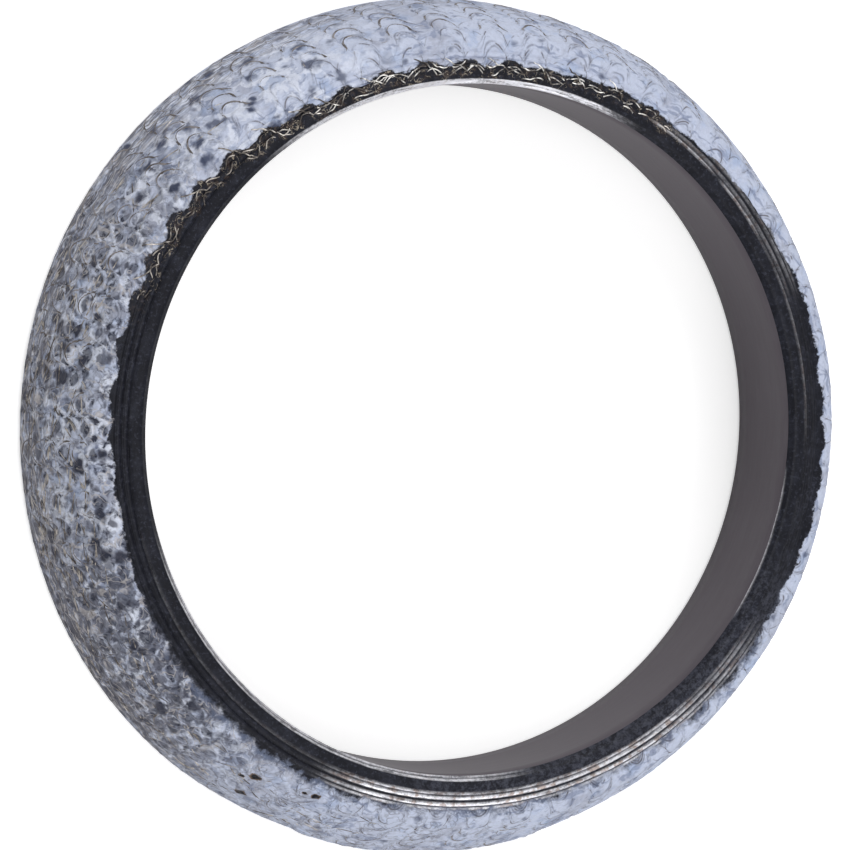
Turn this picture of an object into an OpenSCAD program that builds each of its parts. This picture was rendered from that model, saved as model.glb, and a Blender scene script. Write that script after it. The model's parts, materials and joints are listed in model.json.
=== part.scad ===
// Exhaust gasket: a ball-and-flare seal ring, pressed in one piece from knitted steel wire
// and graphite. It stands on its large flat end, the heel, with its bore upright.
// The spherical seat turns the joint's pull into sealing pressure, and lets the pipes tilt.

/* [Bore] */
// Diameter of the bore, which slides over the pipe's stub
bore_d = 64; // [50:0.5:76]
// Bevel of the bore's edge at the small end
nose_bevel = 0.5; // [0.2:0.1:0.8]
// Chamfer of the bore's edge at the large end
heel_chamfer = 0.6; // [0.2:0.1:1.2]

/* [Ring] */
// Height between the two end faces
height = 11.9; // [8:0.1:14]
// Wall from the bore to the seat at the large end
heel_wall = 8.6; // [7.5:0.1:10]
// Wall from the bore to where the seat would meet the small end's plane
nose_wall = 4.3; // [4.2:0.1:5.2]
// Rounding of the outer edge at the large end
heel_round = 0.5; // [0.2:0.1:1]
// Rounding between the seat and the shoulder of the small end
nose_round = 1.4; // [1:0.1:1.6]

/* [Small end] */
// Width of the flat land beside the bore's bevel
land_w = 1.2; // [0.8:0.1:1.4]
// Number of pressed ridges on the shoulder
ridges = 2; // [1:1:2]
// Width of one ridge
ridge_w = 0.5; // [0.3:0.05:0.6]
// Rise of one ridge above its tread
ridge_rise = 0.12; // [0.05:0.01:0.2]
// Flat strip on each side of a ridge
ridge_gap = 0.06; // [0.04:0.01:0.1]
// Step down from the land to the first ridge's tread, and from each tread to the next
tread_step = 0.16; // [0.1:0.01:0.2]

/* [Knit] */
// Number of loops in one round of the wire
wales = 53; // [44:1:58]
// Number of rounds of the wire that show on the seat
courses = 5; // [2:1:5]
// Height of a loop, from its foot to its head
loop_h = 2.7; // [2:0.1:3]
// Width of the wire where it stands out of the coat
wire_w = 0.4; // [0.25:0.05:0.6]
// Rise of the wire above the coat
wire_rise = 0.14; // [0.05:0.01:0.25]
// Thickness of the coat in which the wire lies
coat_t = 0.12; // [0.08:0.01:0.3]
// Bare strip of the seat between the heel and the knit
bare_w = 0.8; // [0.6:0.1:1.5]
// Bare strip of the seat between the knit and the shoulder
shoulder_gap = 0.45; // [0.3:0.05:1]

/* [Hidden] */
$fn = 180;

bore_r = bore_d / 2;
heel_r = bore_r + heel_wall;
nose_r = bore_r + nose_wall;
// The seat is part of a sphere centred on the axis, through the heel's edge and the nose's
seat_drop = (heel_r ^ 2 - nose_r ^ 2 - height ^ 2) / (2 * height);
seat_r = norm([heel_r, seat_drop]);
core_r = seat_r - coat_t;
seat_centre = [0, -seat_drop];
land_r = bore_r + nose_bevel + land_w;
tread_w = ridge_w + 2 * ridge_gap;
shoulder_r = land_r + ridges * tread_w;
shoulder_z = height - (ridges + 1) * tread_step;
clear = 2 * nose_round;

// Centre of an arc of radius r that touches the seat from inside and the plane at height z;
// side is 1 where the plane is above the arc and -1 where it is below
function arc_centre(r, z, side) =
    let (y = z - side * r) [sqrt((core_r - r) ^ 2 - (y + seat_drop) ^ 2), y];

// What a rounding takes off the edge between the seat and a flat plane
module edge_waste(r, z, side) {
    centre = arc_centre(r, z, side);
    outward = (centre - seat_centre) / norm(centre - seat_centre);
    difference() {
        polygon([
            centre,
            [centre.x, z + side * clear],
            [centre.x + 2 * clear, z + side * clear],
            centre + outward * (r + clear)
        ]);
        translate(centre) circle(r);
    }
}

// The treads that step down from the land to the shoulder, as one outline
function tread_points() = [
    for (i = [0:ridges - 1], end = [0, 1])
        [land_r + (i + end) * tread_w, height - (i + 1) * tread_step]
];

// A pressed ridge: the top of a circle that stands ridge_rise above its tread
module ridge(i) {
    bow = (ridge_w ^ 2 / 4 + ridge_rise ^ 2) / (2 * ridge_rise);
    middle = [land_r + (i + 0.5) * tread_w, height - (i + 1) * tread_step];
    translate(middle + [0, ridge_rise - bow]) circle(bow);
}

// Half section of the ring, beside the axis
module section() {
    difference() {
        union() {
            intersection() {
                polygon(concat(
                    [
                        [bore_r, heel_chamfer],
                        [bore_r + heel_chamfer, 0],
                        [heel_r + clear, 0],
                        [heel_r + clear, shoulder_z],
                        [shoulder_r, shoulder_z]
                    ],
                    [for (i = [2 * ridges - 1:-1:0]) tread_points()[i]],
                    [
                        [land_r, height],
                        [bore_r + nose_bevel, height],
                        [bore_r, height - nose_bevel]
                    ]
                ));
                translate(seat_centre) circle(core_r);
            }
            for (i = [0:ridges - 1]) ridge(i);
        }
        edge_waste(nose_round, shoulder_z, 1);
        edge_waste(heel_round, 0, -1);
    }
}

// Points along one loop of the knit
steps = 6;
columns = wales * steps;
// How far a loop's sides lean over its foot, in steps
lean = 0.22;
// Below 1, this power squares a loop's head off
squareness = 0.65;
// How far into the ring the coat's back face lies
root = 1.2;
degree = 180 / (PI * seat_r);
// Rise angles of the coat's lower and upper edges, seen from the seat's centre
low = asin(seat_drop / seat_r) + bare_w * degree;
high = asin((seat_drop + shoulder_z) / seat_r) - shoulder_gap * degree;
span = (high - low - (loop_h + wire_w) * degree) / (courses - 1);

// Point at a turn about the axis and a rise above the heel's plane, out from the seat
function on_seat(turn, rise, out) =
    let (r = (seat_r + out) * cos(rise))
        [r * cos(turn), r * sin(turn), (seat_r + out) * sin(rise) - seat_drop];

// Middle of the wire at step t of a course: [turn, rise]
function wire(t, course) =
    let (a = t * 360 / steps, bow = -cos(a))
        [
            (t + lean * sin(2 * a)) * 360 / columns,
            low + (loop_h + wire_w) / 2 * degree + course * span
                + sign(bow) * abs(bow) ^ squareness * loop_h / 2 * degree
        ];

// Point of the wire's section at step t: side is -1 or 1 at its edges and 0 on its crest
function wire_point(t, course, side) =
    let (
        here = wire(t, course),
        ahead = wire(t + 0.5, course),
        behind = wire(t - 0.5, course),
        along = [(ahead.x - behind.x) * cos(here.y), ahead.y - behind.y],
        across = [-along.y / cos(here.y), along.x] / norm(along),
        place = here + across * side * wire_w / 2 * degree
    )
        on_seat(place.x, place.y, side == 0 ? wire_rise : 0);

function coat_edge(rise) = [for (i = [0:columns - 1]) on_seat(wire(i, 0).x, rise, -root)];

// The coat with its knit, as bands of points round the ring, closed inside the ring
module knit_coat() {
    points = concat(
        coat_edge(low),
        [
            for (course = [0:courses - 1], side = [-1, 0, 1], i = [0:columns - 1])
                wire_point(i, course, side)
        ],
        coat_edge(high)
    );
    bands = len(points) / columns;
    faces = [
        for (j = [0:bands - 1], i = [0:columns - 1])
            let (
                here = j * columns, next = (j + 1) % bands * columns,
                beside = (i + 1) % columns
            )
                each [
                    [here + i, next + i, here + beside],
                    [here + beside, next + i, next + beside]
                ]
    ];
    polyhedron(points, faces);
}

// The one-piece seal ring
module gasket_ring() {
    color("lightsteelblue") {
        rotate_extrude() section();
        knit_coat();
    }
}

gasket_ring();
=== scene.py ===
"""Looks of the exhaust gasket: a ring pressed from knitted steel wire and graphite."""

import json
import math

import bmesh
import bpy
import numpy as np
from mathutils import Matrix, Vector, noise


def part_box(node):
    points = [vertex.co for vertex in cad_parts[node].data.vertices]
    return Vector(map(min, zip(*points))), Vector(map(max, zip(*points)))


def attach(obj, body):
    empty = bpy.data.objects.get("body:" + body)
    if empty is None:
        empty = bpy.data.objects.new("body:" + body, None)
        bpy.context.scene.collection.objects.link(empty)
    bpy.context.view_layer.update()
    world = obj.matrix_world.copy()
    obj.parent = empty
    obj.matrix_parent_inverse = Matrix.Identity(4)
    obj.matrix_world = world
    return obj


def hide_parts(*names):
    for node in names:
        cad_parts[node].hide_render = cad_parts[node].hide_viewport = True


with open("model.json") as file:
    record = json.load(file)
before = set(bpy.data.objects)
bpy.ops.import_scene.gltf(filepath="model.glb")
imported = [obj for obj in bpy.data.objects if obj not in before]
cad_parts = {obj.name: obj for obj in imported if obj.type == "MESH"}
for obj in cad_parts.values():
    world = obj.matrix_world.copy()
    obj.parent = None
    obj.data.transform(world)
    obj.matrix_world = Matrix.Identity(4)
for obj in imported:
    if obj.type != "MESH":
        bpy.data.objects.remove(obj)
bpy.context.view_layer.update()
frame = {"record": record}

# Sizes of the ring in millimetres, as the solid has them
MM = 0.001
BORE = next(m for m in frame["record"]["mounts"] if m["name"] == "bore")
BORE_R = BORE["dims"]["r_mm"]
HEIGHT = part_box("gasket_ring")[1][2] / MM
HEEL_WALL = 8.6
NOSE_WALL = 4.3
NOSE_BEVEL = 0.5
HEEL_CHAMFER = 0.6
HEEL_ROUND = 0.5
NOSE_ROUND = 1.4
LAND_W = 1.2
RIDGES = 2
RIDGE_W = 0.5
RIDGE_RISE = 0.12
RIDGE_GAP = 0.06
TREAD_STEP = 0.16
HEEL_R = BORE_R + HEEL_WALL
NOSE_R = BORE_R + NOSE_WALL
SEAT_DROP = (HEEL_R**2 - NOSE_R**2 - HEIGHT**2) / (2 * HEIGHT)
SEAT_R = math.hypot(HEEL_R, SEAT_DROP)
LAND_R = BORE_R + NOSE_BEVEL + LAND_W
TREAD_W = RIDGE_W + 2 * RIDGE_GAP
SHOULDER_R = LAND_R + RIDGES * TREAD_W
SHOULDER_Z = HEIGHT - (RIDGES + 1) * TREAD_STEP

# The knit, as the solid has it, and the finer wire that shows in the coat
WALES = 53
COURSES = 5
LOOP_H = 2.7
RIB_W = 0.4
BARE_W = 0.8
SHOULDER_GAP = 0.45
WIRE_R = 0.15
UNDER_WIRE_R = 0.11
BARE_WIRE_R = 0.065
STRAYS = 260
BENDS = 62

# Columns of the ring's mesh, and steps of its outline on the heel's rounding
COLUMNS = 960
HEEL_STEPS = 4

# Where the photograph's camera is, as seen from the middle of the heel
CAMERA_LEAN = math.radians(21.71)
CAMERA_TURN = math.radians(-9.16)
CAMERA_SHIFT = (0.0235 * BORE_R, 0.0021 * BORE_R)
CAMERA_REACH = 13.2964 * BORE_R
CAMERA_LENS = 190.6
SENSOR = 36.0


def rise_at(z):
    """Angle above the heel's plane, at the seat's centre, of a point of the seat at height z."""
    return math.asin((z + SEAT_DROP) / SEAT_R)


FOOT = rise_at(0)
SEAT_LENGTH = (rise_at(SHOULDER_Z) - FOOT) * SEAT_R
COURSE_STEP = (SEAT_LENGTH - SHOULDER_GAP - BARE_W - LOOP_H - RIB_W) / (COURSES - 1)


def arc(centre, radius, start, end, count):
    """Points on an arc from angle start to angle end, in radians."""
    turns = (start + (end - start) * i / count for i in range(count + 1))
    return [(centre[0] + radius * math.cos(t), centre[1] + radius * math.sin(t)) for t in turns]


def rounding(radius, z, side):
    """Centre of the rounding between the seat and a plane, and its angle on the seat."""
    height = z - side * radius
    centre = (math.sqrt((SEAT_R - radius) ** 2 - (height + SEAT_DROP) ** 2), height)
    return centre, math.atan2(height + SEAT_DROP, centre[0])


def ridge(i):
    """The arc of one pressed ridge, from its outer foot to its inner foot."""
    bow = (RIDGE_W**2 / 4 + RIDGE_RISE**2) / (2 * RIDGE_RISE)
    middle = LAND_R + (i + 0.5) * TREAD_W
    level = HEIGHT - (i + 1) * TREAD_STEP
    half = math.asin(RIDGE_W / 2 / bow)
    up = math.pi / 2
    return arc((middle, level + RIDGE_RISE - bow), bow, up - half, up + half, 6)


def seat_outline():
    """The outer line of the section, from the heel's edge over the seat to the shoulder."""
    heel, heel_turn = rounding(HEEL_ROUND, 0, -1)
    nose, nose_turn = rounding(NOSE_ROUND, SHOULDER_Z, 1)
    points = arc(heel, HEEL_ROUND, -math.pi / 2, heel_turn, HEEL_STEPS)
    points += arc((0, -SEAT_DROP), SEAT_R, heel_turn, nose_turn, 48)[1:]
    points += arc(nose, NOSE_ROUND, nose_turn, math.pi / 2, 8)[1:]
    return points


def face_outline():
    """The small end, from the shoulder over the ridges and the land to the bore's bevel."""
    points = [(SHOULDER_R + x, SHOULDER_Z) for x in (0.35, 0.18, 0.0)]
    for i in reversed(range(RIDGES)):
        level = HEIGHT - (i + 1) * TREAD_STEP
        points.append((LAND_R + (i + 1) * TREAD_W, level))
        points += ridge(i)
        points.append((LAND_R + i * TREAD_W, level))
    points.append((LAND_R, HEIGHT))
    points.append((LAND_R - 0.03, HEIGHT))
    points += [(LAND_R - LAND_W * i / 4, HEIGHT) for i in range(1, 5)]
    points += [(BORE_R + NOSE_BEVEL * (1 - i / 5), HEIGHT - NOSE_BEVEL * i / 5) for i in range(1, 5)]
    return points


def bore_outline():
    """The bore's wall and the heel, back to the heel's outer edge."""
    top = HEIGHT - NOSE_BEVEL
    wall = [(BORE_R, top + (HEEL_CHAMFER - top) * i / 6) for i in range(7)]
    heel = [(BORE_R + HEEL_CHAMFER, 0), ((BORE_R + HEEL_R) / 2, 0)]
    return wall + heel


SEAT_LINE = seat_outline()
FACE_LINE = face_outline()
BORE_LINE = bore_outline()
OUTLINE = np.array(SEAT_LINE + FACE_LINE + BORE_LINE)


def outline_normals(points):
    """Unit normals that point out of the section, at each point of its closed outline."""
    along = np.roll(points, -1, axis=0) - np.roll(points, 1, axis=0)
    normals = np.stack([along[:, 1], -along[:, 0]], axis=1)
    return normals / np.linalg.norm(normals, axis=1)[:, None]


NORMALS = outline_normals(OUTLINE)
# Length along the outline from where the seat would meet the heel's plane
STEPS = np.linalg.norm(np.diff(OUTLINE, axis=0), axis=1)
LENGTHS = np.concatenate([[0.0], np.cumsum(STEPS)])
SEAT_START = LENGTHS[HEEL_STEPS] - (rounding(HEEL_ROUND, 0, -1)[1] - FOOT) * SEAT_R
LENGTHS = LENGTHS - SEAT_START
FACE_START = len(SEAT_LINE)
FACE_END = FACE_START + len(FACE_LINE)
RIM_LENGTH = LENGTHS[FACE_END]


def surface(turn, length, out):
    """Points in metres at turns about the axis, lengths along the outline, and heights above it."""
    r = np.interp(length, LENGTHS, OUTLINE[:, 0]) + out * np.interp(length, LENGTHS, NORMALS[:, 0])
    z = np.interp(length, LENGTHS, OUTLINE[:, 1]) + out * np.interp(length, LENGTHS, NORMALS[:, 1])
    return np.stack([r * np.cos(turn), r * np.sin(turn), z], axis=-1) * MM


def degrees_from(turn, middle):
    """How far turns lie from a middle turn in degrees, from -180 to 180."""
    return (np.degrees(turn) - middle + 180) % 360 - 180


def swell(turn, middle, half, soft):
    """1 within half of the middle turn, in degrees, fading to 0 over soft degrees beyond it."""
    t = np.clip((half + soft - np.abs(degrees_from(turn, middle))) / soft, 0, 1)
    return t * t * (3 - 2 * t)


def swells(turn, *parts):
    """The sum of swells, each given as its strength and then its middle, half and soft."""
    return sum(strength * swell(turn, *span) for strength, *span in parts)


def grain(points, size, seed):
    """Smooth noise from about -1 to 1 at points in metres, with features of size millimetres."""
    scale = 1 / (size * MM)
    shift = Vector((seed * 7.3, seed * 3.1, seed * 5.7))
    return np.array([noise.noise(Vector(p) * scale + shift) for p in points])


# Radius at which the coat ends where nothing moves it, and the rows of the outline round it
COAT_END_R = BORE_R + 3.3
END_ROWS = slice(FACE_START - 5, FACE_END - 2)
# How far the coat runs on or stops short, in millimetres, and where, as swells take it
OVERRUNS = ((1.7, 97, 16, 42), (-0.45, 8, 12, 25), (0.05, 285, 25, 20), (0.65, 43, 10, 16))


def edge_length(turn):
    """Where the pale coat ends, as a length along the outline, at turns about the axis."""
    plain = np.interp(-COAT_END_R, -OUTLINE[END_ROWS, 0], LENGTHS[END_ROWS])
    scallop = (0.12 + 0.3 * swell(turn, 130, 40, 20)) * np.sin(WALES * turn + 0.6 * np.sin(5 * turn))
    waves = 0.25 * np.sin(7 * turn) * np.sin(3 * turn + 1)
    return plain + swells(turn, *OVERRUNS) + scallop + waves


# The knit lies in two layers: phase of the loops, shift across the courses, stray and a seed
KNIT = (0.0, 0.0, 0.30, 11)
UNDER_KNIT = (math.pi, COURSE_STEP / 2, 0.5, 31)
FIRST_COURSE = BARE_W + (LOOP_H + RIB_W) / 2
# Below 1, this power squares a loop's head off
SQUARENESS = 0.65
# How much a loop's slanting sides narrow the distance measured across the courses
SLANT = 1.7


def head(wave):
    """How far a loop's wire lies toward the heel, in millimetres, where its wave has this cosine."""
    return np.sign(wave) * np.abs(wave) ** SQUARENESS * LOOP_H / 2


def straying(spots, layer):
    """How far the wire of a layer strays round the ring and across it, in millimetres."""
    _, _, stray, seed = layer
    return stray * grain(spots, 3.0, seed), stray * grain(spots, 2.6, seed + 1)


def knit_wave(spots, turn, length, layer):
    """The cosine and sine of the loops at each point, and its place across the courses."""
    round_it, across = straying(spots, layer)
    a = (turn + round_it / HEEL_R) * WALES + layer[0]
    return np.cos(a), np.sin(a), length + across - FIRST_COURSE - layer[1]


def wire_gap(cosine, sine, place):
    """Distance in millimetres from the middle of the nearest wire of a layer."""
    gap = (place + head(cosine) + COURSE_STEP / 2) % COURSE_STEP - COURSE_STEP / 2
    return np.abs(gap) / np.sqrt(1 + (SLANT * sine) ** 2)


def coat_height(spots, length, gap):
    """Height of the coat above the plain outline, in millimetres, uneven and embossed by the knit."""
    inner = np.clip(length / 1.5, 0, 1)
    rib = np.clip(1 - (gap / 0.34) ** 2, 0, 1)
    return (0.07 * grain(spots, 5.0, 1) + 0.04 * grain(spots, 1.3, 2) + 0.12 * rib) * inner - 0.10


def add_object(name, mesh, material=None):
    """A mesh object that rides on the ring."""
    piece = bpy.data.objects.new(name, mesh)
    bpy.context.collection.objects.link(piece)
    if material:
        mesh.materials.append(material)
    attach(piece, "root")
    return piece


def ring_mesh():
    """The whole ring as one closed lathe of the outline, with fine rows on the seat."""
    shape = bmesh.new()
    row = [shape.verts.new((r * MM, 0, z * MM)) for r, z in OUTLINE]
    edges = [shape.edges.new((a, b)) for a, b in zip(row, row[1:] + row[:1])]
    bmesh.ops.spin(
        shape,
        geom=row + edges,
        cent=(0, 0, 0),
        axis=(0, 0, 1),
        angle=2 * math.pi,
        steps=COLUMNS,
        use_merge=True,
    )
    bmesh.ops.recalc_face_normals(shape, faces=shape.faces)
    mesh = bpy.data.meshes.new("pressed_ring")
    shape.to_mesh(mesh)
    shape.free()
    return mesh


def places(mesh):
    """Each vertex's place in metres, its turn about the axis and its row of the outline."""
    spots = np.empty(len(mesh.vertices) * 3)
    mesh.vertices.foreach_get("co", spots)
    spots = spots.reshape(-1, 3)
    flat = np.stack([np.hypot(spots[:, 0], spots[:, 1]), spots[:, 2]], axis=1) / MM
    row = np.empty(len(flat), int)
    # In parts, to spare memory
    part = 20000
    for start in range(0, len(flat), part):
        away = ((flat[start : start + part, None] - OUTLINE[None]) ** 2).sum(axis=2)
        row[start : start + part] = away.argmin(axis=1)
    return spots, np.arctan2(spots[:, 1], spots[:, 0]) % (2 * math.pi), row


def store(mesh, name, values):
    """A number at each vertex that a material can read."""
    layer = mesh.attributes.new(name, "FLOAT", "POINT")
    layer.data.foreach_set("value", values.astype(np.float32))


# Pits in the coat: turn in degrees, length from the heel and width in millimetres
PITS = (
    (237.8, 9.5, 0.52),
    (239.4, 4.9, 0.58),
    (246.2, 11.7, 0.38),
    (236.6, 8.3, 0.3),
    (244.4, 11.4, 0.25),
)
# Radius of the seat about where the pits and the stray wires lie
PIT_R = 39
STRAY_R = 38


def pitted(turn, length):
    """How deep each point lies in one of the coat's pits: 1 in the middle and 0 at the rim."""
    depth = np.full(len(turn), -1.0)
    for middle, at, width in PITS:
        away = degrees_from(turn, middle) * math.pi / 180 * PIT_R
        depth = np.maximum(depth, 1 - np.hypot(away * 0.8, length - at) / width)
    return depth


# Where the ridges, the land's edge and the bore's two rims carry painted highlights on rubbed steel,
# as swells take it
BRIGHT_RIDGES = (0.25, 40, 12, 8)
BRIGHT_LAND = ((1.0, 53, 5, 3), (0.85, 39, 3.5, 3), (0.3, 20, 14, 10), (0.14, 228, 22, 14))
BRIGHT_BOTTOM = ((1.35, 280, 24, 14), (0.6, 306, 10, 14))
BRIGHT_RIM = (1.6, 96, 20, 16)
BRIGHT_PAIR = (1.0, 239, 30, 14)
BRIGHT_HAIR = (0.9, 340, 9, 6)


def line_at(r, middle, half, peak=1.0):
    """1 on a line round the ring at the middle radius, fading to 0 at half from it."""
    return np.clip(peak - np.abs(r - middle) / half, 0, 1)


def rubbed_steel_and_highlight(turn, row):
    """How far the ridges, the land's edge and the bore's rim are rubbed steel, with painted
    highlights at the turns listed above.
    """
    r, z = OUTLINE[row].T
    on_end = z > HEIGHT - 1
    crest = line_at(r, SHOULDER_R + 0.18, 0.12) * on_end
    for i in range(RIDGES):
        on_ridge = z > HEIGHT - (i + 1) * TREAD_STEP
        crest = np.maximum(crest, on_ridge * line_at(r, LAND_R + (i + 0.62) * TREAD_W, 0.24, 1.2))
    edge = line_at(r, LAND_R, 0.08) * (on_end & (row >= FACE_START))
    rim = (z > HEIGHT - NOSE_BEVEL - 0.05) & (r < BORE_R + NOSE_BEVEL - 0.05)
    pair = rim * np.where(np.abs(r - BORE_R - 0.2) < 0.05, 0.15, 1.0)
    hair = line_at(r, BORE_R, 0.12) * on_end
    low = np.maximum(*(swells(turn, part) for part in BRIGHT_BOTTOM))
    bright = crest * (low + swells(turn, BRIGHT_RIDGES))
    bright = bright + edge * np.maximum(swells(turn, *BRIGHT_LAND), low)
    bright = bright + hair * swells(turn, BRIGHT_HAIR)
    bright = bright + rim * swells(turn, BRIGHT_RIM) + pair * swells(turn, BRIGHT_PAIR)
    return np.clip(bright, 0, 1.7)


# Where the outer edge swells or falls short, in millimetres, as swells take it
SWOLLEN = ((0.10, 190, 28, 40), (0.2, 296, 16, 30), (0.18, 50, 8, 20), (0.22, 268, 16, 2))
SHORT = ((-0.3, 97, 14, 25), (-0.12, 245, 6, 8))


def uneven(turn, length):
    """How far the pressed ring swells or falls short of round, in millimetres, toward the heel."""
    fade = np.clip(1.4 - length / 6, 0, 1) * np.clip(length + 0.4, 0, 1)
    return swells(turn, *SWOLLEN, *SHORT) * fade


# Zones of wear that the coat's material reads: middle turn, half width and fade in degrees
ZONES = {
    "rubbed": (188, 30, 34),
    "crazed": (245, 20, 22),
    "smeared": (270, 50, 20),
    "blotched": (171, 50, 24),
    "tangled": (108, 46, 12),
    "dusky": (212, 9, 16),
    "mottled": (298, 30, 16),
}


def pressed_ring():
    """The ring's body, uneven where the die pressed the folded mesh into it."""
    mesh = ring_mesh()
    spots, turn, row = places(mesh)
    length = LENGTHS[row]
    seat = row < FACE_START
    face = ~seat & (row < FACE_END)
    waves = knit_wave(spots, turn, length, KNIT)
    unders = knit_wave(spots, turn, length, UNDER_KNIT)
    out = np.zeros(len(spots))
    out[seat] = (coat_height(spots, length, wire_gap(*waves)) + uneven(turn, length))[seat]
    out[face] = (0.02 * grain(spots, 5.0, 1) + 0.03 * grain(spots, 1.3, 2))[face] - 0.02
    sides = NORMALS[row]
    away = np.stack([sides[:, 0] * np.cos(turn), sides[:, 0] * np.sin(turn), sides[:, 1]], axis=1)
    spots += away * (out * MM)[:, None]
    mesh.vertices.foreach_set("co", spots.ravel())
    for layer, fields in (("knit", waves), ("under", unders)):
        for name, values in zip(("cosine", "sine", "place"), fields):
            store(mesh, f"{layer}_{name}", values)
    store(mesh, "coat_reach", edge_length(turn) - length)
    store(mesh, "outline_length", length)
    for name, zone in ZONES.items():
        store(mesh, name, swell(turn, *zone))
    store(mesh, "burnish", rubbed_steel_and_highlight(turn, row))
    store(mesh, "pit", pitted(turn, length))
    mesh.update()
    return mesh


def tube_mesh(name, paths, radius, sides=5):
    """Round wires along closed or open paths of points and outward directions."""
    shape = bmesh.new()
    for points, outs, closed in paths:
        rings = []
        count = len(points)
        for i in range(count):
            ahead = points[(i + 1) % count] if closed or i + 1 < count else points[i]
            behind = points[i - 1] if closed or i > 0 else points[i]
            along = ahead - behind
            along /= np.linalg.norm(along)
            side = np.cross(along, outs[i])
            side /= np.linalg.norm(side)
            up = np.cross(side, along)
            ring = []
            for k in range(sides):
                a = 2 * math.pi * (k + 0.5) / sides
                spot = points[i] + radius * (math.cos(a) * side + math.sin(a) * up)
                ring.append(shape.verts.new(spot))
            rings.append(ring)
        pairs = list(zip(rings, rings[1:]))
        if closed:
            pairs.append((rings[-1], rings[0]))
        for a, b in pairs:
            for k in range(sides):
                n = (k + 1) % sides
                shape.faces.new((a[k], a[n], b[n], b[k]))
    for face in shape.faces:
        face.smooth = True
    bmesh.ops.recalc_face_normals(shape, faces=shape.faces)
    mesh = bpy.data.meshes.new(name)
    shape.to_mesh(mesh)
    shape.free()
    return mesh


def wire_path(turns, lengths, lifts, closed=False):
    """A wire through places on the ring, given by turn, outline length and height."""
    points = surface(turns, lengths, lifts)
    outs = surface(turns, lengths, lifts + 1) - points
    return points, outs / np.linalg.norm(outs, axis=1)[:, None], closed


def knit_path(course, layer, depth):
    """One course of a layer as a closed path that follows the layer's loops."""
    per_loop = 18
    t = np.arange(WALES * per_loop) / per_loop
    wave = np.cos(2 * math.pi * t)
    turn = (2 * math.pi * t - layer[0]) / WALES
    length = FIRST_COURSE + layer[1] + course * COURSE_STEP - head(wave)
    round_it, across = straying(surface(turn, length, 0 * turn), layer)
    turn = turn - round_it / HEEL_R
    length = length - across
    spots = surface(turn, length, 0 * turn)
    return wire_path(turn, length, depth(spots, turn, length, wave, layer[3]), closed=True)


def coat_over(turn, length):
    """1 where a point lies beyond the end of the pale coat, on the small end."""
    return np.clip((length - edge_length(turn) + 0.3) / 0.6, 0, 1)


# Where the knit's wires stand out more or less, in millimetres, as swells take it
SHOWN_KNIT = ((0.02, 120, 40, 30), (0.02, 195, 50, 30), (-0.05, 335, 30, 30), (-0.03, 195, 50, 25))


def knit_depth(spots, turn, length, wave, seed):
    """Height of the knit's wire: its heads break the coat in short stretches."""
    lift = coat_height(spots, length, 0 * length) + uneven(turn, length) - 0.135
    shown = 0.055 * grain(spots, 2.4, seed + 2) + 0.04 * grain(spots, 0.9, seed + 3)
    shown += 0.03 * wave - 0.03 + swells(turn, *SHOWN_KNIT)
    return lift + shown - 0.5 * coat_over(turn, length)


def under_depth(spots, turn, length, _, seed):
    """Height of the second wire, which shows where the coat is rubbed, whatever its wave."""
    lift = coat_height(spots, length, 0 * length + 1) + uneven(turn, length) - 0.12
    shown = 0.08 * grain(spots, 1.7, seed + 2) - 0.10 + 0.05 * swell(turn, 185, 45, 25)
    return lift + shown - 0.5 * coat_over(turn, length)


def stray_paths(dice):
    """Short crossing wires that stand out of the rubbed coat on one side of the ring."""
    paths = []
    for _ in range(STRAYS):
        middle = math.radians(dice.normal(190, 32))
        length = dice.uniform(0.9, 10.6)
        reach = dice.uniform(1.0, 3.0)
        slant = math.radians(dice.choice((-24, -12, 8, 45), p=(0.32, 0.34, 0.19, 0.15)))
        t = np.linspace(-1, 1, 12)
        bend = dice.uniform(-0.25, 0.25) * (1 - t * t)
        turns = middle + (reach * t * math.cos(slant) - bend * math.sin(slant)) / STRAY_R
        lengths = length + reach * t * math.sin(slant) + bend * math.cos(slant)
        lengths = np.clip(lengths, 0.3, edge_length(turns) - 0.1)
        spots = surface(turns, lengths, 0 * t)
        lifts = coat_height(spots, lengths, 0 * t + 1) + uneven(turns, lengths)
        lifts += 0.05 * grain(spots, 2.2, 61) - 0.005 - 0.10 * t**4
        paths.append(wire_path(turns, lengths, lifts))
    return paths


# Turns in degrees from which the bare legs and arcs of wire run backwards round the small end,
# how far the legs run, and one loop's share of a turn in radians
LEGS_FROM = 158
ARCS_FROM = 160
LEGS_SPAN = 96
LOOP_TURN = 2 * math.pi / WALES


def leg_paths(dice):
    """Legs of the last course, which leave the coat and lie bare on the graphite in a bent V."""
    paths = []
    # The share of a leg that runs down from the coat, before it folds back
    fold = 0.72
    for k in range(int(WALES * LEGS_SPAN / 360)):
        top = math.radians(LEGS_FROM) - (k + 0.15 * dice.normal()) * LOOP_TURN
        t = np.linspace(0, 1, 22)
        first = np.minimum(t / fold, 1)
        rest = np.maximum(t - fold, 0) / (1 - fold)
        down = dice.uniform(1.2, 1.7)
        turns = top - LOOP_TURN * (0.52 * first + 0.24 * rest)
        depth = -1.2 + (1.2 + down) * first - dice.uniform(0.5, 0.9) * rest
        lengths = np.minimum(edge_length(turns) + depth, RIM_LENGTH - 0.8)
        lifts = 0.02 + 0.05 * grain(surface(turns, lengths, 0 * t), 1.2, 71) + 0.05 * (depth > 0)
        lifts -= 0.2 * (np.abs(2 * t - 1) ** 10)
        paths.append(wire_path(turns, lengths, lifts))
    return paths


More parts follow.
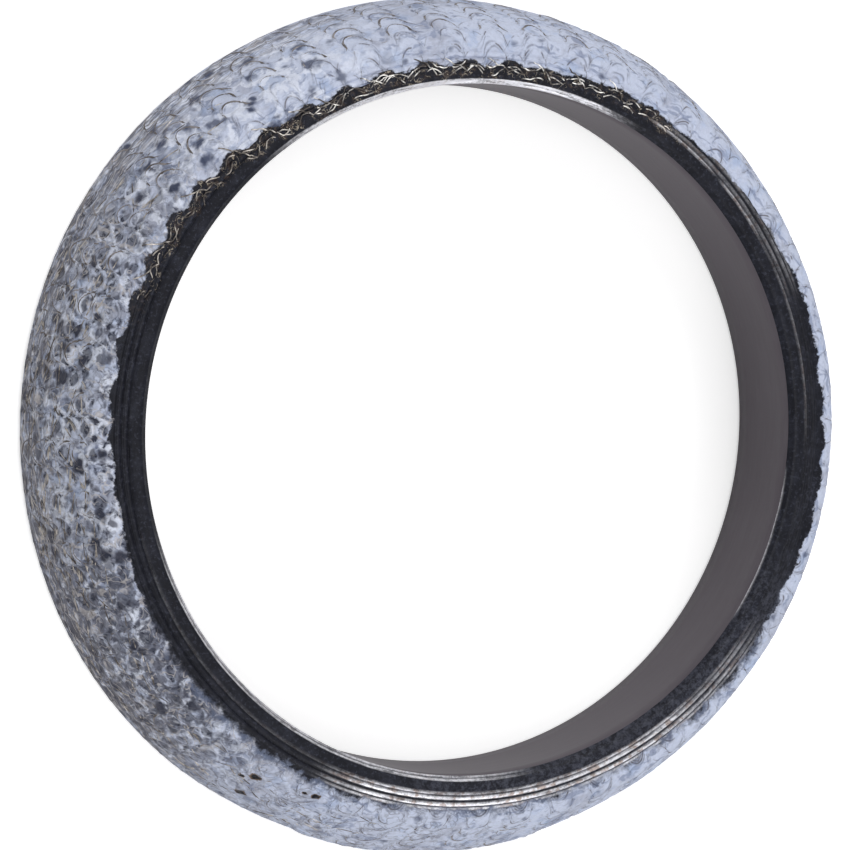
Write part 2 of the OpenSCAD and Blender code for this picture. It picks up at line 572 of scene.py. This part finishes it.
def arc_paths(dice):
    """Bent ends of wire that lie bare beside the coat on the small end."""
    paths = []
    for k in range(BENDS):
        middle = math.radians(ARCS_FROM) - (k // 2 + 0.25 + 0.12 * dice.normal()) * LOOP_TURN / 2
        top = swell(middle, 97, 16, 20)
        t = np.linspace(-1, 1, 14)
        half = dice.uniform(0.09, 0.20) + 0.10 * top
        turns = middle + LOOP_TURN * half * t
        bow = half * dice.uniform(0.8, 2.0) * dice.choice((1, -1), p=(0.8, 0.2))
        away = (0.15 + 0.5 * (k % 2) + dice.uniform(0, 0.35)) * (1.5 - 0.5 * top)
        lengths = np.minimum(edge_length(turns) + away + bow * t * t, RIM_LENGTH - 1.0)
        lifts = 0.01 + 0.09 * grain(surface(turns, lengths, 0 * t), 1.0, 81) - 0.14 * t**6
        paths.append(wire_path(turns, lengths, lifts))
    return paths


def feed(node, **inputs):
    """Fills a node's sockets: _2 names its third one, and Base_Color the one called Base Color."""
    for key, value in inputs.items():
        name = int(key[1:]) if key[1:].isdigit() else key.replace("_", " ")
        if isinstance(value, Field):
            value.tree.links.new(value.socket, node.inputs[name])
        else:
            node.inputs[name].default_value = value


class Field:
    """A number that varies over a surface: a shader socket on which sums can be written."""

    def __init__(self, tree, socket=None):
        self.tree = tree
        self.socket = socket

    def node(self, kind, settings=None, **inputs):
        """A node of any kind, with its settings made first and then its sockets filled."""
        made = self.tree.nodes.new(kind)
        for key, value in (settings or {}).items():
            setattr(made, key, value)
        feed(made, **inputs)
        return made

    def take(self, kind, output=0, settings=None, **inputs):
        """One output of such a node, as a field."""
        return Field(self.tree, self.node(kind, settings, **inputs).outputs[output])

    def math(self, operation, *values):
        inputs = {f"_{i}": value for i, value in enumerate(values)}
        return self.take("ShaderNodeMath", 0, {"operation": operation}, **inputs)

    def __add__(self, other):
        return self.math("ADD", self, other)

    __radd__ = __add__

    def __sub__(self, other):
        return self.math("SUBTRACT", self, other)

    def __rsub__(self, other):
        return self.math("SUBTRACT", other, self)

    def __mul__(self, other):
        return self.math("MULTIPLY", self, other)

    __rmul__ = __mul__

    def clip(self):
        return self.math("MAXIMUM", self.math("MINIMUM", self, 1.0), 0.0)

    def ramp(self, low, high):
        """0 below low and 1 above high, with a soft passage between."""
        settings = {"interpolation_type": "SMOOTHSTEP"}
        return self.take("ShaderNodeMapRange", 0, settings, _0=self, _1=low, _2=high)

    def near(self, middle, low, high):
        """1 within low of the middle value, fading to 0 at high from it."""
        return 1 - self.math("ABSOLUTE", self - middle).ramp(low, high)

    def mix(self, low, high):
        """The colour low where this field is 0 and high where it is 1."""
        return self.take("ShaderNodeMix", 2, {"data_type": "RGBA"}, _0=self, _6=low, _7=high)


def start_material(name):
    """A new material with its shader, and the object's coordinates as a field."""
    material = bpy.data.materials.new(name)
    material.use_nodes = True
    tree = material.node_tree
    return material, tree.nodes["Principled BSDF"], Field(tree).take("ShaderNodeTexCoord", "Object")


def attribute(place, name):
    """A number that the mesh holds."""
    return place.take("ShaderNodeAttribute", "Fac", {"attribute_name": name})


def cloud(place, size, detail=3.0, rough=0.55):
    """Noise from 0 to 1 with features of size millimetres."""
    inputs = {"Vector": place, "Scale": 1 / (size * MM), "Detail": detail, "Roughness": rough}
    return place.take("ShaderNodeTexNoise", "Fac", **inputs)


def vector_math(place, operation, **inputs):
    """A sum on vectors."""
    return place.take("ShaderNodeVectorMath", 0, {"operation": operation}, **inputs)


def shifted(place, size, amount):
    """The coordinates pushed about by noise, by up to amount millimetres."""
    inputs = {"Vector": place, "Scale": 1 / (size * MM), "Detail": 2.0}
    push = place.take("ShaderNodeTexNoise", "Color", **inputs)
    push = vector_math(place, "SUBTRACT", _0=push, _1=(0.5, 0.5, 0.5))
    push = vector_math(place, "SCALE", _0=push, Scale=2 * amount * MM)
    return vector_math(place, "ADD", _0=place, _1=push)


def cells(place, size):
    """Distance from the middles of scattered cells of size millimetres, and each cell's number."""
    made = place.node("ShaderNodeTexVoronoi", Vector=place, Scale=1 / (size * MM))
    distance, colour = (Field(place.tree, made.outputs[name]) for name in ("Distance", "Color"))
    return distance, place.take("ShaderNodeSeparateColor", _0=colour)


def cell_borders(place, size):
    """Distance from the nearest border between such cells."""
    settings = {"feature": "DISTANCE_TO_EDGE"}
    scale = 1 / (size * MM)
    return place.take("ShaderNodeTexVoronoi", "Distance", settings, Vector=place, Scale=scale)


def axes(place):
    """The three coordinates of a place, each as a field."""
    made = place.node("ShaderNodeSeparateXYZ", _0=place)
    return [Field(place.tree, socket) for socket in made.outputs]


def around(place, reach, across=None):
    """Coordinates stretched along the ring, so that noise on them runs in streaks."""
    x, y, z = axes(place)
    r = place.math("SQRT", x * x + y * y)
    if across is None:
        across = r + z * 0.6
    x, y = (place.math("DIVIDE", side, r) * reach * MM for side in (x, y))
    return place.take("ShaderNodeCombineXYZ", X=x, Y=y, Z=across)


def seat_lines(place, reach):
    """Coordinates that follow the seat's outline, so that noise on them runs evenly round it."""
    across = attribute(place, "outline_length") + (cloud(place, 2.5, 2.0) - 0.5) * 1.2
    return around(place, reach, across * MM)


def bump(place, shader, height, depth):
    """Bumps depth millimetres deep where height goes from 0 to 1."""
    inputs = {"Height": height, "Strength": 1.0, "Distance": depth * MM}
    feed(shader, Normal=place.take("ShaderNodeBump", **inputs))


# Colours as the photograph shows them, in linear light
BLACK_GRAPHITE = (0.007, 0.0075, 0.012, 1)
GREY_GRAPHITE = (0.04, 0.043, 0.062, 1)
MOTTLE_GREY = (0.09, 0.095, 0.125, 1)
PALE_COAT = (0.57, 0.62, 0.77, 1)
BRIGHT_COAT = (0.76, 0.80, 0.92, 1)
BLUE_COAT = (0.40, 0.49, 0.70, 1)
SHADE_COAT = (0.25, 0.27, 0.35, 1)
DULL_COAT = (0.33, 0.34, 0.42, 1)
WORN_COAT = (0.25, 0.26, 0.32, 1)
SLATE = (0.024, 0.029, 0.05, 1)
BLUE_SLATE = (0.07, 0.085, 0.145, 1)
WORN_SLATE = (0.062, 0.063, 0.086, 1)
DUSK_SLATE = (0.10, 0.105, 0.14, 1)
DIP_SHADE_AND_STROKE_BLUE = (0.19, 0.23, 0.36, 1)
HAZE_BLUE = (0.10, 0.125, 0.20, 1)
STREAK_GREY = (0.12, 0.118, 0.14, 1)
SHADE_LINE = (0.10, 0.09, 0.10, 1)
PALE_STRAND = (0.55, 0.52, 0.52, 1)
RUST_RIM = (0.16, 0.11, 0.08, 1)
RUBBED_STEEL_HIGHLIGHT = (0.86, 0.86, 0.92, 1)
BROWN_STEEL = (0.42, 0.30, 0.24, 1)
GOLD_WIRE_GLINT = (0.55, 0.48, 0.38, 1)
DULL_WIRE = (0.10, 0.085, 0.08, 1)
BROWN_WIRE = (0.26, 0.24, 0.24, 1)
DARK_WIRE = (0.09, 0.078, 0.072, 1)
RUBBED_WIRE = (0.50, 0.46, 0.42, 1)
SHEEN_SIDE_WIRE = (0.88, 0.86, 0.83, 1)
PALE_SATIN = (0.128, 0.113, 0.132, 1)
SATIN_GREY = (0.092, 0.079, 0.094, 1)


def graphite_look(place):
    """Colour, roughness and bump height of pressed graphite with specks of wire ends."""
    patches = cloud(place, 1.6, 5.0, 0.75).ramp(0.42, 0.72)
    flecks = cloud(place, 0.35, 3.0, 0.7).ramp(0.52, 0.68)
    streaks = cloud(around(place, 9.0), 0.9, 3.0, 0.6).ramp(0.5, 0.75)
    colour = (patches * 0.35 + streaks * 0.2 + flecks * 0.6).clip().mix(BLACK_GRAPHITE, GREY_GRAPHITE)
    rough = 0.5 + patches * 0.1 + flecks * 0.1
    height = flecks * 0.5 + streaks * 0.3 + cloud(place, 0.25, 2.0, 0.5) * 0.4
    return colour, rough, height


def graphite_face():
    """The near-black heel."""
    material, shader, place = start_material("pressed_graphite")
    colour, rough, height = graphite_look(place)
    feed(shader, Base_Color=colour, Roughness=rough, Metallic=0.1, Specular_IOR_Level=0.25)
    bump(place, shader, height, 0.03)
    return material


def polished_bore():
    """The smooth grey wall of the bore, drawn along the ring by the die's pin."""
    material, shader, place = start_material("satin_bore")
    drawn = cloud(around(place, 3.0), 0.35, 3.0, 0.6)
    soft = cloud(place, 6.0, 2.0, 0.5)
    colour = (drawn.ramp(0.35, 0.7) * 0.35 + soft * 0.4).clip().mix(SATIN_GREY, PALE_SATIN)
    rough = 0.36 + drawn * 0.12
    feed(shader, Base_Color=colour, Roughness=rough, Metallic=0.3, Specular_IOR_Level=0.3)
    bump(place, shader, drawn, 0.012)
    return material


def wire_field(place, name):
    """Distance in millimetres from the nearest wire of a layer, and the loops' cosine."""
    cosine = attribute(place, name + "_cosine")
    bow = place.math("POWER", place.math("ABSOLUTE", cosine), SQUARENESS)
    bow = bow * place.math("SIGN", cosine) * (LOOP_H / 2)
    half = COURSE_STEP / 2
    gap = place.math("WRAP", attribute(place, name + "_place") + bow, half, -half)
    slope = attribute(place, name + "_sine") * SLANT
    gap = place.math("DIVIDE", place.math("ABSOLUTE", gap), place.math("SQRT", slope * slope + 1.0))
    return gap, cosine


def plain_coat(place):
    """The coat's own colour: pale, with bluer and duller clouds and streaks along the ring."""
    blue = cloud(place, 2.4, 3.0, 0.6).ramp(0.5, 0.72)
    dull = cloud(around(place, 12.0), 1.1, 3.0, 0.65).ramp(0.5, 0.75)
    return (dull * 0.6).mix((blue * 0.75).mix(PALE_COAT, BLUE_COAT), DULL_COAT)


def with_knit(colour, place, knit, under, rubbed):
    """The embossed knit: thin brown lines where the coat has worn off its wires' heads."""
    gap, cosine = knit
    under_gap, under_cosine = under
    heads = cosine.ramp(-0.75, 0.1)
    broken = cloud(place, 1.4, 3.0, 0.6)
    thin = (1 - gap.ramp(0.03, 0.12)) * heads * broken.ramp(0.44, 0.56)
    side = gap.near(0.24, 0.02, 0.16) * heads * cloud(place, 1.8, 2.0, 0.6).ramp(0.45, 0.62)
    faint = (1 - under_gap.ramp(0.02, 0.10)) * under_cosine.ramp(-0.5, 0.3) * broken.ramp(0.5, 0.62)
    colour = (side * (0.8 - rubbed * 0.5)).mix(colour, SHADE_COAT)
    lines = (thin * 0.8 + faint * 0.5) * (1 - rubbed * 0.5)
    return lines.clip().mix(colour, SHADE_LINE)


def with_dip_shade_and_strokes(colour, wander, gap):
    """Painted blue-grey shade where the coat dips between the wires, and blue-grey strokes along the
    ring.
    """
    # Painted shade: the coat is darkened blue-grey in the dips away from the wires
    blot = cloud(wander, 1.0, 2.0, 0.6).ramp(0.60, 0.72) * gap.ramp(0.1, 0.3)
    stroke = cloud(around(wander, 7.0), 0.45, 2.0, 0.6).ramp(0.55, 0.66)
    return (stroke * 0.6).mix((blot * 0.6).mix(colour, DIP_SHADE_AND_STROKE_BLUE), DIP_SHADE_AND_STROKE_BLUE)


def crazing(place, wander, rubbed):
    """Fine dark lines in the coat, most of all in its crazed and rubbed parts."""
    crazed = attribute(place, "crazed")
    border = cell_borders(shifted(place, 1.4, 1.6), 1.9)
    line = (1 - border.ramp(0.01, 0.05)) * (crazed * 0.45)
    flow = cloud(wander, 1.5, 1.0, 0.5).near(0.5, 0.004, 0.022)
    flow = flow * (0.12 + crazed * 0.55 + rubbed * 0.35)
    strand = cloud(around(wander, 16.0), 0.8, 1.0, 0.5).near(0.5, 0.01, 0.04)
    strand = strand * (crazed * 0.55 + rubbed * 0.35)
    line = place.math("MAXIMUM", line, place.math("MAXIMUM", flow, strand))
    return line * cloud(place, 1.2, 2.0, 0.5).ramp(0.35, 0.55)


def with_clumps(colour, place, wander, rubbed):
    """The rubbed coat, in dull, bright and dusky clumps."""
    dull = 1 - cloud(wander, 1.3, 3.0, 0.6).ramp(0.40, 0.54)
    colour = (rubbed * dull * 0.7).mix(colour, WORN_COAT)
    lit = cloud(wander, 1.5, 3.0, 0.6).ramp(0.50, 0.60)
    either = place.math("MAXIMUM", rubbed, attribute(place, "blotched"))
    colour = (either * lit * 0.8).mix(colour, BRIGHT_COAT)
    dusk = attribute(place, "dusky") * cloud(wander, 1.2, 3.0, 0.6).ramp(0.42, 0.54)
    return (dusk * 0.8).mix(colour, DUSK_SLATE)


def with_bare_cells(colour, place, wander, gaps, rubbed):
    """Graphite that shows in small specks and, where the coat is rubbed, in rounded cells.

    Strands of wire shine through between the cells. It also gives how bare the coat is.
    """
    gap, under_gap = gaps
    spot, number = cells(wander, 1.5)
    speck = (1 - spot.ramp(0.04, 0.34)) * number.ramp(0.60, 0.70)
    open_cell = place.math("MINIMUM", gap.ramp(0.16, 0.36), under_gap.ramp(0.06, 0.24))
    chosen = cloud(wander, 1.9, 2.0, 0.5).ramp(0.46, 0.56)
    smudge = cloud(wander, 0.7, 4.0, 0.7).ramp(0.52, 0.64) * 0.6
    worn = ((open_cell * chosen * 0.75 + smudge) * rubbed).clip()
    blob, lot = cells(shifted(place, 1.1, 0.8), 2.2)
    blob = (1 - blob.ramp(0.20, 0.46)) * lot.ramp(0.32, 0.40) * attribute(place, "blotched")
    bare = place.math("MAXIMUM", speck * 0.8, place.math("MAXIMUM", worn, blob))
    dark = cloud(place, 0.5, 3.0, 0.7).ramp(0.35, 0.7).mix(SLATE, WORN_SLATE)
    colour = bare.mix(colour, rubbed.ramp(0.3, 0.9).mix(BLUE_SLATE, dark))
    shine = cloud(around(wander, 20.0), 0.7, 1.0, 0.5).near(0.52, 0.008, 0.035)
    shine = shine * rubbed * (1 - blob * 0.7) * cloud(place, 1.6, 2.0, 0.5).ramp(0.42, 0.58)
    return (shine * 0.7).mix(colour, PALE_STRAND), bare


def with_pits(colour, place, rubbed):
    """Fine dark grains, and a few black pits with rusty rims. It also gives the pits' depth."""
    grains = 1 - cloud(place, 0.28, 2.0, 0.7).ramp(0.3, 0.7)
    colour = (grains * (0.1 + rubbed * 0.06)).mix(colour, WORN_SLATE)
    pit = attribute(place, "pit") + (cloud(place, 0.5) - 0.5) * 1.3
    colour = pit.ramp(-0.12, 0.1).mix(colour, RUST_RIM)
    return pit.ramp(0.1, 0.3).mix(colour, BLACK_GRAPHITE), pit


def with_heel_streaks(colour, place):
    """Dull streaks and glints along the ring near the heel, most of all on the blotched side."""
    heel_side = 1 - attribute(place, "outline_length").ramp(2.5, 7.5)
    heel_side = heel_side * (attribute(place, "blotched") * 0.7 + 0.3)
    streak = cloud(seat_lines(place, 4.0), 0.26, 3.0, 0.65).ramp(0.42, 0.56)
    colour = (heel_side * streak * 0.8).mix(colour, STREAK_GREY)
    glint = cloud(seat_lines(place, 3.0), 0.17, 2.0, 0.6).ramp(0.55, 0.66)
    return (heel_side * glint * 0.85).mix(colour, PALE_STRAND)


def coat_cover(place, reach):
    """1 under the coat and 0 beyond its ragged end, which is soft where it is smeared."""
    ragged = reach + (cloud(place, 1.5, 4.0, 0.65) - 0.5) * 1.5 + (cloud(place, 0.4) - 0.5) * 0.5
    smoky = (ragged + (cloud(place, 0.8, 4.0, 0.7) - 0.5) * 2.0).ramp(-0.5, 0.8)
    soft_edge = attribute(place, "smeared") * 0.75
    return ragged.ramp(-0.08, 0.12) * (1 - soft_edge) + smoky * soft_edge


def small_end(place, reach, coated):
    """Colour of the small end beyond the coat, how far it is rubbed steel with painted highlights,
    and its bump height.
    """
    black, _, height = graphite_look(place)
    mottled = cloud(place, 0.55, 4.0, 0.75).ramp(0.40, 0.66) * attribute(place, "mottled")
    black = (mottled * 0.5).mix(black, MOTTLE_GREY)
    # Rust and fine ends of wire in the rough graphite beside the coat, where it is bare; the wire
    # ends are painted gold as glints
    beside = reach.ramp(-2.0, -1.4) * attribute(place, "tangled")
    rust = cloud(place, 0.6, 3.0, 0.7).ramp(0.5, 0.65) * beside
    black = (rust * 0.25).mix(black, RUST_RIM)
    ends = cloud(shifted(place, 0.8, 0.8), 0.7, 1.0, 0.5).near(0.5, 0.006, 0.03)
    ends = ends * cloud(place, 0.9, 2.0, 0.6).ramp(0.46, 0.58) * beside
    black = (ends * 0.55).mix(black, GOLD_WIRE_GLINT)
    # Rubbed steel on the ridges and rims, painted near-white as highlights, tinged brown except on
    # the bore's rim
    rubs = cloud(around(place, 3.0), 0.28, 4.0, 0.7).ramp(0.40, 0.56)
    grit = cloud(place, 0.35, 4.0, 0.75).ramp(0.40, 0.60)
    steel = (attribute(place, "burnish") * (rubs * 0.45 + grit * 0.35 + 0.2) * (1 - coated)).clip()
    on_rim = attribute(place, "outline_length").ramp(RIM_LENGTH - 1.0, RIM_LENGTH - 0.7)
    tinge = cloud(place, 0.8, 2.0, 0.6).ramp(0.5, 0.62) * (1 - on_rim * 0.8)
    metal = (tinge * 0.7).mix(RUBBED_STEEL_HIGHLIGHT, BROWN_STEEL)
    return steel.mix(black, metal), steel, height


def coated_seat():
    """The pale coat of the seat, with bare and rubbed places, and the small end beyond it."""
    material, shader, place = start_material("coated_seat")
    reach = attribute(place, "coat_reach")
    rubbed = attribute(place, "rubbed")
    wander = shifted(place, 1.6, 0.55)
    knit = wire_field(place, "knit")
    under = wire_field(place, "under")
    gaps = (knit[0], under[0])
    colour = with_dip_shade_and_strokes(with_knit(plain_coat(place), place, knit, under, rubbed), wander, gaps[0])
    line = crazing(place, wander, rubbed)
    colour = (line.clip() * 0.75).mix(colour, SHADE_LINE)
    colour = with_clumps(colour, place, wander, rubbed)
    colour, bare = with_bare_cells(colour, place, wander, gaps, rubbed)
    colour, pit = with_pits(colour, place, rubbed)
    colour = with_heel_streaks(colour, place)
    coated = coat_cover(place, reach)
    end, steel, height = small_end(place, reach, coated)
    hazy = coated * (1 - coated) * attribute(place, "smeared") * 3.2
    hazy = hazy * cloud(around(wander, 16.0), 1.5, 2.0, 0.6).ramp(0.46, 0.60)
    colour = hazy.clip().mix(coated.mix(end, colour), HAZE_BLUE)
    rough = 0.42 + coated * 0.1 - steel * 0.1
    feed(shader, Base_Color=colour, Roughness=rough, Metallic=steel * 0.5, Specular_IOR_Level=0.15)
    ribs = (1 - gaps[0].ramp(0.05, 0.24)) * 0.8
    ribs = ribs + (1 - gaps[1].ramp(0.03, 0.2)) * (0.3 + rubbed * 0.4)
    coat_level = 0.6 - pit.ramp(0.0, 0.3) - bare * 0.5 - line * 0.3 + ribs * 0.55
    level = coated * coat_level + cloud(place, 0.5, 3.0, 0.6) * 0.25 + height * 0.1
    bump(place, shader, level, 0.12)
    return material


def wire_steel(name, dark, bright, sheen_side, shine):
    """Steel wire, dulled by coat and graphite and rubbed bright in places, with a painted sheen that
    makes it paler toward the ring's +y side.
    """
    material, shader, place = start_material(name)
    tone = cloud(place, 1.1, 3.0, 0.6).ramp(0.42, 0.62)
    # Painted sheen: the wire is paler toward the ring's +y side
    far_side = axes(place)[1].ramp(25 * MM, 33 * MM)
    colour = tone.mix(dark, far_side.mix(bright, sheen_side))
    feed(shader, Base_Color=colour, Roughness=0.5 - tone * 0.2, Metallic=shine)
    bump(place, shader, cloud(place, 0.2), 0.01)
    return material


def dress_ring():
    """The ring's body with its three finishes."""
    mesh = pressed_ring()
    body = add_object("pressed_ring", mesh)
    for material in (coated_seat(), graphite_face(), polished_bore()):
        mesh.materials.append(material)
    middles = np.empty(len(mesh.polygons) * 3)
    mesh.polygons.foreach_get("center", middles)
    middles = middles.reshape(-1, 3) / MM
    r = np.hypot(middles[:, 0], middles[:, 1])
    z = middles[:, 2]
    finish = np.zeros(len(r), int)
    finish[(r < BORE_R + 0.02) & (z < HEIGHT - NOSE_BEVEL - 0.1)] = 2
    finish[z < 0.02] = 1
    mesh.polygons.foreach_set("material_index", finish)
    mesh.polygons.foreach_set("use_smooth", np.ones(len(r), bool))
    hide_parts("gasket_ring")


def dress_wires():
    """The knit that shows in the coat, and the wires laid bare at the small end."""
    dull = wire_steel("dulled_wire", DULL_WIRE, BROWN_WIRE, BROWN_WIRE, 0.4)
    bright = wire_steel("bright_wire", DARK_WIRE, RUBBED_WIRE, SHEEN_SIDE_WIRE, 0.75)
    paths = [knit_path(c, KNIT, knit_depth) for c in range(COURSES)]
    add_object("knit_wire", tube_mesh("knit_wire", paths, WIRE_R * MM), dull)
    paths = [knit_path(c, UNDER_KNIT, under_depth) for c in range(-1, COURSES)]
    add_object("under_wire", tube_mesh("under_wire", paths, UNDER_WIRE_R * MM), bright)
    dice = np.random.default_rng(5)
    paths = stray_paths(dice) + leg_paths(dice) + arc_paths(dice)
    add_object("bare_wire", tube_mesh("bare_wire", paths, BARE_WIRE_R * MM), bright)


def aim_camera():
    """The photograph's camera."""
    sideways = math.sin(CAMERA_LEAN)
    tip = Vector(
        (sideways * math.cos(CAMERA_TURN), sideways * math.sin(CAMERA_TURN), math.cos(CAMERA_LEAN))
    )
    across = Vector((0, 1, 0)).cross(tip).normalized()
    turned = Matrix((across, tip.cross(across), tip))
    origin = Vector((*CAMERA_SHIFT, -CAMERA_REACH))
    spot = Vector((0, 0, HEEL_CHAMFER)) * MM - turned @ origin * MM
    data = bpy.data.cameras.new("camera")
    camera = bpy.data.objects.new("camera", data)
    bpy.context.collection.objects.link(camera)
    camera.matrix_world = Matrix.Translation(spot) @ turned.to_4x4()
    data.lens = CAMERA_LENS
    data.sensor_width = SENSOR
    data.clip_start = 0.01
    data.clip_end = 10
    bpy.context.scene.camera = camera


def softbox(name, spot, size, power):
    """A square lamp that faces the ring."""
    data = bpy.data.lights.new(name, "AREA")
    data.size = size
    data.energy = power
    lamp = bpy.data.objects.new(name, data)
    bpy.context.collection.objects.link(lamp)
    lamp.location = spot
    lamp.rotation_euler = (-Vector(spot)).to_track_quat("-Z", "Y").to_euler()


def light_studio():
    """Soft light from above and behind, and white surroundings."""
    world = bpy.data.worlds.new("studio")
    bpy.context.scene.world = world
    world.use_nodes = True
    tree = world.node_tree
    rays = Field(tree).node("ShaderNodeLightPath")
    seen = Field(tree, rays.outputs["Is Camera Ray"])
    mirrored = Field(tree, rays.outputs["Is Glossy Ray"])
    strength = (seen + mirrored * 0.5).clip() * 0.65 + 0.35
    feed(tree.nodes["Background"], Color=(1, 1, 1, 1), Strength=strength)
    softbox("back_softbox", (0.10, 0.45, 0.40), 0.35, 1.5)
    softbox("top_softbox", (-0.10, 0.0, 0.60), 0.40, 1.0)
    softbox("front_softbox", (0.08, -0.45, 0.30), 0.30, 1.05)


def lay_floor():
    """The pale floor, which the camera sees nearly white."""
    mesh = bpy.data.meshes.new("floor")
    sheet = bmesh.new()
    bmesh.ops.create_grid(sheet, x_segments=1, y_segments=1, size=3)
    sheet.to_mesh(mesh)
    sheet.free()
    floor = bpy.data.objects.new("floor", mesh)
    bpy.context.collection.objects.link(floor)
    material, shader, place = start_material("pale_floor")
    glow = place.take("ShaderNodeLightPath", "Is Camera Ray") * 0.45
    feed(shader, Base_Color=(0.86, 0.86, 0.86, 1), Roughness=0.9)
    feed(shader, Emission_Color=(1, 1, 1, 1), Emission_Strength=glow)
    mesh.materials.append(material)


bpy.context.scene.view_settings.view_transform = "Standard"
aim_camera()
dress_ring()
dress_wires()
light_studio()
lay_floor()
